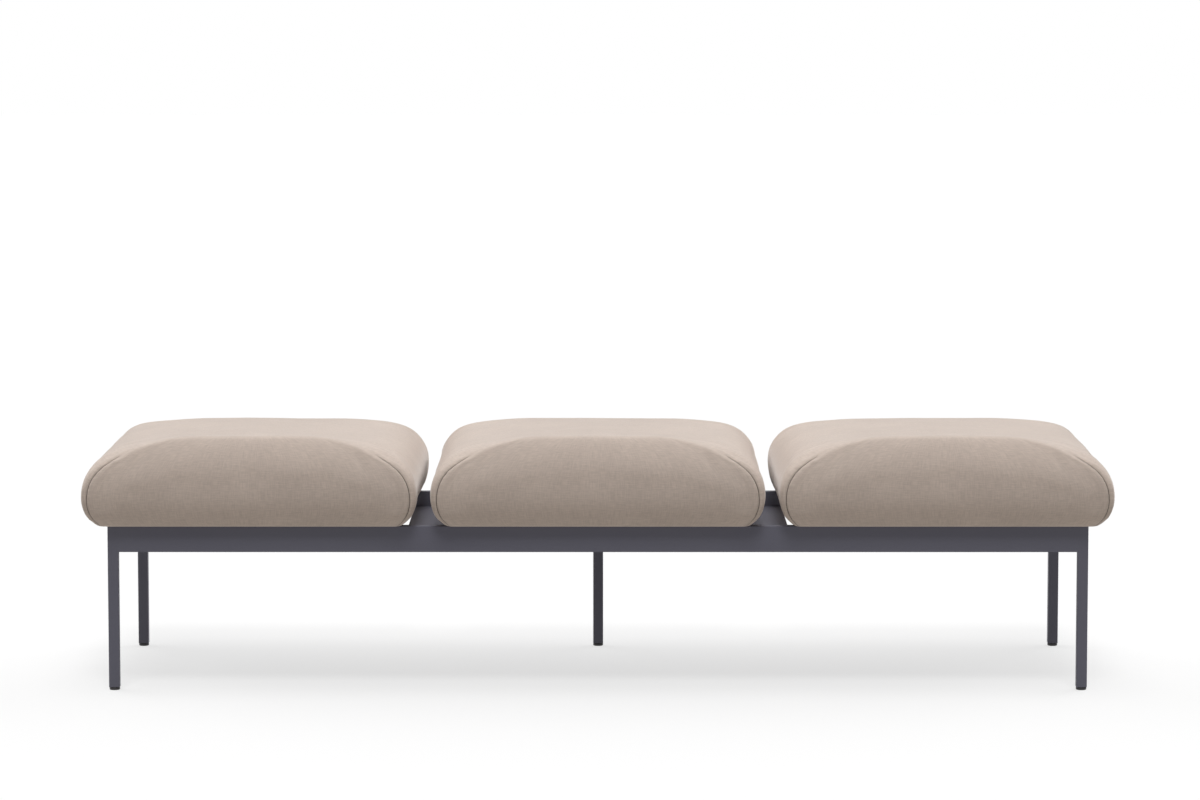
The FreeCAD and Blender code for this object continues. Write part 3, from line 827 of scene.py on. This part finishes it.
def makeStem(name, size):
    # one tooth of the thread, wound up the axis by a rising spin and cut level at both ends, on a flat head
    low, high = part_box(f"foot_stem_{name}")
    centre = (low + high) / 2
    pitch = size["pitch"]
    start = low.z + size["headHeight"]
    outer = size["diameter"] / 2 - size["clear"]
    inner = outer - size["depth"]
    crest = pitch * size["crest"] / 2
    turns = math.ceil((high.z - start) / pitch) + 2
    shape = bmesh.new()
    tooth = ((inner, 0), (outer, pitch / 2 - crest), (outer, pitch / 2 + crest), (inner, pitch))
    below = start - 1.5 * pitch
    line = [shape.verts.new((centre.x + reach, centre.y, below + rise)) for reach, rise in tooth]
    line += [shape.edges.new(ends) for ends in zip(line, line[1:])]
    bmesh.ops.spin(
        shape,
        geom=line,
        cent=centre,
        axis=(0, 0, 1),
        dvec=(0, 0, pitch / size["steps"]),
        angle=turns * math.tau,
        steps=turns * size["steps"],
        use_merge=False,
    )
    bmesh.ops.remove_doubles(shape, verts=shape.verts, dist=1e-6)
    for level, outwards in ((start, -1), (high.z, 1)):
        geometry = shape.verts[:] + shape.edges[:] + shape.faces[:]
        bmesh.ops.bisect_plane(
            shape, geom=geometry, plane_co=(0, 0, level), plane_no=(0, 0, outwards), clear_outer=True
        )
    bmesh.ops.holes_fill(shape, edges=[edge for edge in shape.edges if edge.is_boundary])
    bmesh.ops.recalc_face_normals(shape, faces=shape.faces)
    lowest = min(shape.faces, key=lambda face: face.calc_center_median().z + face.normal.z * pitch)
    flange = bmesh.ops.extrude_discrete_faces(shape, faces=[lowest])["faces"][0]
    for vert in flange.verts:
        spoke = Vector((vert.co.x - centre.x, vert.co.y - centre.y, 0)).normalized()
        vert.co = spoke * ((high.x - low.x) / 2 - size["clear"]) + Vector((centre.x, centre.y, start))
    underside = bmesh.ops.extrude_discrete_faces(shape, faces=[flange])["faces"][0]
    bmesh.ops.translate(shape, verts=underside.verts, vec=(0, 0, -size["headHeight"]))
    openEdges = sum(not edge.is_manifold for edge in shape.edges)
    mesh = meshFrom(shape, f"threadedStem_{name}")
    smoothFaces(mesh)
    mesh.set_sharp_from_angle(angle=math.radians(size["smoothAngle"]))
    piece = addObject(f"threadedStem_{name}", mesh)
    mesh.materials.append(finishes["zinc_steel"])
    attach(piece, f"foot_{name}")
    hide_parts(f"foot_stem_{name}")
    return len(mesh.polygons), openEdges


footNames = ("front_left", "front_right", "rear_left", "rear_right", "rear_centre")
print("stems made, faces and open edges:", [makeStem(name, stem) for name in footNames])


# Floor, light and camera

stage = {
    "floorSize": 60.0,
    "floorLight": 0.664,
    "floorColour": (0.294, 0.294, 0.294),
    "floorBounce": (0.2, 0.195, 0.187),
    "floorGlow": (0.345, 0.335, 0.32),
    "lamps": {
        "overhead": {"strength": 0.35, "spread": 40.0, "from": 0.0, "height": 86.0},
        "front": {"strength": 0.38, "spread": 18.0, "from": 0.0, "height": 60.0},
        "rear": {"strength": 0.45, "spread": 120.0, "from": 180.0, "height": 40.0},
        "rearLeft": {"strength": 0.24, "spread": 50.0, "from": -125.0, "height": 26.0},
        "rearRight": {"strength": 0.24, "spread": 50.0, "from": 125.0, "height": 26.0},
    },
}


def seenDirectly(start):
    # 1 for what the camera sees, itself or in a reflection, and 0 for light that falls on the bench
    rays = start.add("ShaderNodeLightPath")
    seen = rays.other("Is Camera Ray") + rays.other("Is Glossy Ray") + rays.other("Is Transmission Ray")
    return start.sum("MINIMUM", seen, 1.0)


def makeStage(look):
    shape = bmesh.new()
    bmesh.ops.create_grid(shape, x_segments=1, y_segments=1, size=look["floorSize"] / 2)
    mesh = meshFrom(shape, "floor")
    floor = addObject("floor", mesh)
    finish = bpy.data.materials.new("paleFloor")
    finish.use_nodes = True
    tree = finish.node_tree
    tree.nodes.clear()
    start = Wire(tree)
    glow = start.add("ShaderNodeEmission", {}, {"Color": (1, 1, 1, 1), "Strength": look["floorLight"]})
    plain = start.add("ShaderNodeBsdfDiffuse", {}, {"Color": colour(look["floorColour"])})
    bounce = start.add("ShaderNodeBsdfDiffuse", {}, {"Color": colour(look["floorBounce"])})
    soft = start.add("ShaderNodeEmission", {}, {"Color": colour(look["floorGlow"])})
    bounce = start.add("ShaderNodeAddShader", {}, {0: bounce, 1: soft})
    lit = start.add("ShaderNodeAddShader", {}, {0: glow, 1: plain})
    both = start.add("ShaderNodeMixShader", {}, {0: seenDirectly(start), 1: bounce, 2: lit})
    start.add("ShaderNodeOutputMaterial", {}, {"Surface": both})
    mesh.materials.append(finish)

    world = bpy.data.worlds.new("studio")
    scene.world = world
    world.use_nodes = True
    world.node_tree.nodes.clear()
    start = Wire(world.node_tree)
    sky = start.add("ShaderNodeBackground", {}, {"Color": (1, 1, 1, 1), "Strength": seenDirectly(start)})
    start.add("ShaderNodeOutputWorld", {}, {"Surface": sky})

    for name, lamp in look["lamps"].items():
        sun = bpy.data.lights.new(name, "SUN")
        sun.energy = lamp["strength"] * math.pi
        sun.angle = math.radians(lamp["spread"])
        holder = addObject(name, sun)
        holder.rotation_euler = (math.radians(90 - lamp["height"]), 0, math.radians(lamp["from"]))


makeStage(stage)

view = {
    "place": (0.0065, -8.584, 1.393),
    "lens": 132.5,
    "sensor": 36.0,
    "farthest": 200.0,
    "down": 5.762,
    "turn": 0.018,
}
lens = bpy.data.cameras.new("camera")
lens.lens = view["lens"]
lens.sensor_width = view["sensor"]
lens.clip_end = view["farthest"]
camera = addObject("camera", lens)
camera.location = view["place"]
camera.rotation_euler = (math.radians(90 - view["down"]), 0, math.radians(view["turn"]))
scene.camera = camera
print("stage, light and camera set")
